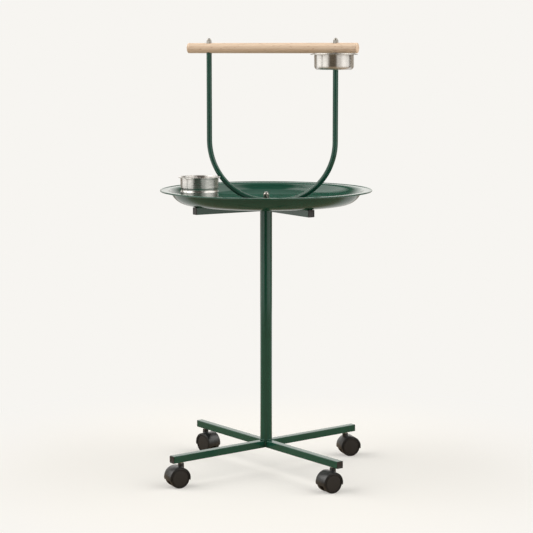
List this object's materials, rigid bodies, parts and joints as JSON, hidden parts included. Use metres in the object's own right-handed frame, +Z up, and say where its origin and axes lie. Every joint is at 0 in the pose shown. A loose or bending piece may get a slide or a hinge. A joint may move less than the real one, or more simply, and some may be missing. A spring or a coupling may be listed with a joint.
{
  "type": "bird t-stand",
  "caption": "Free-standing bird perch: a wooden dowel on a bent tube hoop over a round seed tray, on a post with a cross foot that rolls on casters, with steel cups.",
  "frame": {"origin": "on the floor, under the axis of the post", "axes": "+Z up along the post; X along the perch, +X towards its end with the hanging cup; -Y to the front"},
  "size_m": [0.5968, 0.5989, 1.2327],
  "materials": {
    "green_powder_coat": "satin dark green powder coat on steel tube and sheet",
    "end_cap_plastic": "moulded black polyethylene",
    "caster_hood_nylon": "moulded black nylon, satin",
    "caster_wheel_nylon": "moulded black nylon, fine grained",
    "beech": "sanded, unlacquered beech dowel",
    "polished_stainless": "polished stainless steel",
    "brushed_stainless": "stamped stainless steel strip",
    "chrome_plate": "bright nickel plate",
    "zinc_steel": "bright zinc plate"
  },
  "bodies": {
    "stand": {"base_bolt": "zinc_steel", "base_bolt_washer": "zinc_steel", "base_end_caps": "end_cap_plastic", "base_half_rail_back_left": "green_powder_coat", "base_half_rail_front_right": "green_powder_coat", "base_long_rail": "green_powder_coat", "caster_grip_rings": "zinc_steel", "caster_stem_back_left": "zinc_steel", "caster_stem_back_right": "zinc_steel", "caster_stem_front_left": "zinc_steel", "caster_stem_front_right": "zinc_steel", "caster_weld_nuts": "zinc_steel", "centre_cap_nut": "chrome_plate", "centre_stud": "zinc_steel", "cup_holder": "brushed_stainless", "hoop": "green_powder_coat", "hoop_end_plugs": "zinc_steel", "hoop_saddle_washer": "chrome_plate", "perch": "beech", "perch_cap_nuts": "chrome_plate", "perch_studs": "zinc_steel", "post": "green_powder_coat", "post_foot_plug": "green_powder_coat", "post_head_plug": "zinc_steel", "support_end_caps": "end_cap_plastic", "support_half_rail_back_left": "green_powder_coat", "support_half_rail_front_right": "green_powder_coat", "support_long_rail": "green_powder_coat", "tray": "green_powder_coat"},
    "caster_back_right": {"caster_hood_back_right": "caster_hood_nylon", "caster_axle_back_right": "zinc_steel"},
    "wheel_back_right_left": {"caster_wheel_back_right_left": "caster_wheel_nylon"},
    "wheel_back_right_right": {"caster_wheel_back_right_right": "caster_wheel_nylon"},
    "caster_back_left": {"caster_hood_back_left": "caster_hood_nylon", "caster_axle_back_left": "zinc_steel"},
    "wheel_back_left_left": {"caster_wheel_back_left_left": "caster_wheel_nylon"},
    "wheel_back_left_right": {"caster_wheel_back_left_right": "caster_wheel_nylon"},
    "caster_front_left": {"caster_hood_front_left": "caster_hood_nylon", "caster_axle_front_left": "zinc_steel"},
    "wheel_front_left_left": {"caster_wheel_front_left_left": "caster_wheel_nylon"},
    "wheel_front_left_right": {"caster_wheel_front_left_right": "caster_wheel_nylon"},
    "caster_front_right": {"caster_hood_front_right": "caster_hood_nylon", "caster_axle_front_right": "zinc_steel"},
    "wheel_front_right_left": {"caster_wheel_front_right_left": "caster_wheel_nylon"},
    "wheel_front_right_right": {"caster_wheel_front_right_right": "caster_wheel_nylon"},
    "perch_cup": {"perch_cup": "polished_stainless"},
    "tray_cup": {"tray_cup": "polished_stainless"}
  },
  "joints": [
    {"name": "caster_back_right_swivel", "type": "hinge", "parent": "stand", "child": "caster_back_right", "pos_m": [0.15482, 0.25463, 0.06], "axis": [0, 0, 1], "continuous": true},
    {"name": "wheel_back_right_left_roll", "type": "hinge", "parent": "caster_back_right", "child": "wheel_back_right_left", "pos_m": [0.16337, 0.26155, 0.028], "axis": [-0.6293, 0.7771, 0], "continuous": true},
    {"name": "wheel_back_right_right_roll", "type": "hinge", "parent": "caster_back_right", "child": "wheel_back_right_right", "pos_m": [0.16337, 0.26155, 0.028], "axis": [-0.6293, 0.7771, 0], "continuous": true},
    {"name": "caster_back_left_swivel", "type": "hinge", "parent": "stand", "child": "caster_back_left", "pos_m": [-0.25463, 0.15482, 0.06], "axis": [0, 0, 1], "continuous": true},
    {"name": "wheel_back_left_left_roll", "type": "hinge", "parent": "caster_back_left", "child": "wheel_back_left_left", "pos_m": [-0.24466, 0.15017, 0.028], "axis": [0.4226, 0.9063, 0], "continuous": true},
    {"name": "wheel_back_left_right_roll", "type": "hinge", "parent": "caster_back_left", "child": "wheel_back_left_right", "pos_m": [-0.24466, 0.15017, 0.028], "axis": [0.4226, 0.9063, 0], "continuous": true},
    {"name": "caster_front_left_swivel", "type": "hinge", "parent": "stand", "child": "caster_front_left", "pos_m": [-0.15482, -0.25463, 0.06], "axis": [0, 0, 1], "continuous": true},
    {"name": "wheel_front_left_left_roll", "type": "hinge", "parent": "caster_front_left", "child": "wheel_front_left_left", "pos_m": [-0.16218, -0.2628, 0.028], "axis": [0.7431, -0.6691, 0], "continuous": true},
    {"name": "wheel_front_left_right_roll", "type": "hinge", "parent": "caster_front_left", "child": "wheel_front_left_right", "pos_m": [-0.16218, -0.2628, 0.028], "axis": [0.7431, -0.6691, 0], "continuous": true},
    {"name": "caster_front_right_swivel", "type": "hinge", "parent": "stand", "child": "caster_front_right", "pos_m": [0.25463, -0.15482, 0.06], "axis": [0, 0, 1], "continuous": true},
    {"name": "wheel_front_right_left_roll", "type": "hinge", "parent": "caster_front_right", "child": "wheel_front_right_left", "pos_m": [0.24786, -0.16348, 0.028], "axis": [0.788, -0.6157, 0], "continuous": true},
    {"name": "wheel_front_right_right_roll", "type": "hinge", "parent": "caster_front_right", "child": "wheel_front_right_right", "pos_m": [0.24786, -0.16348, 0.028], "axis": [0.788, -0.6157, 0], "continuous": true},
    {"name": "perch_cup_lift", "type": "slide", "parent": "stand", "child": "perch_cup", "axis": [0, 0, 1], "range_m": [0, 0.12]},
    {"name": "tray_cup_lift", "type": "slide", "parent": "stand", "child": "tray_cup", "axis": [0, 0, 1], "range_m": [0, 0.12]}
  ]
}
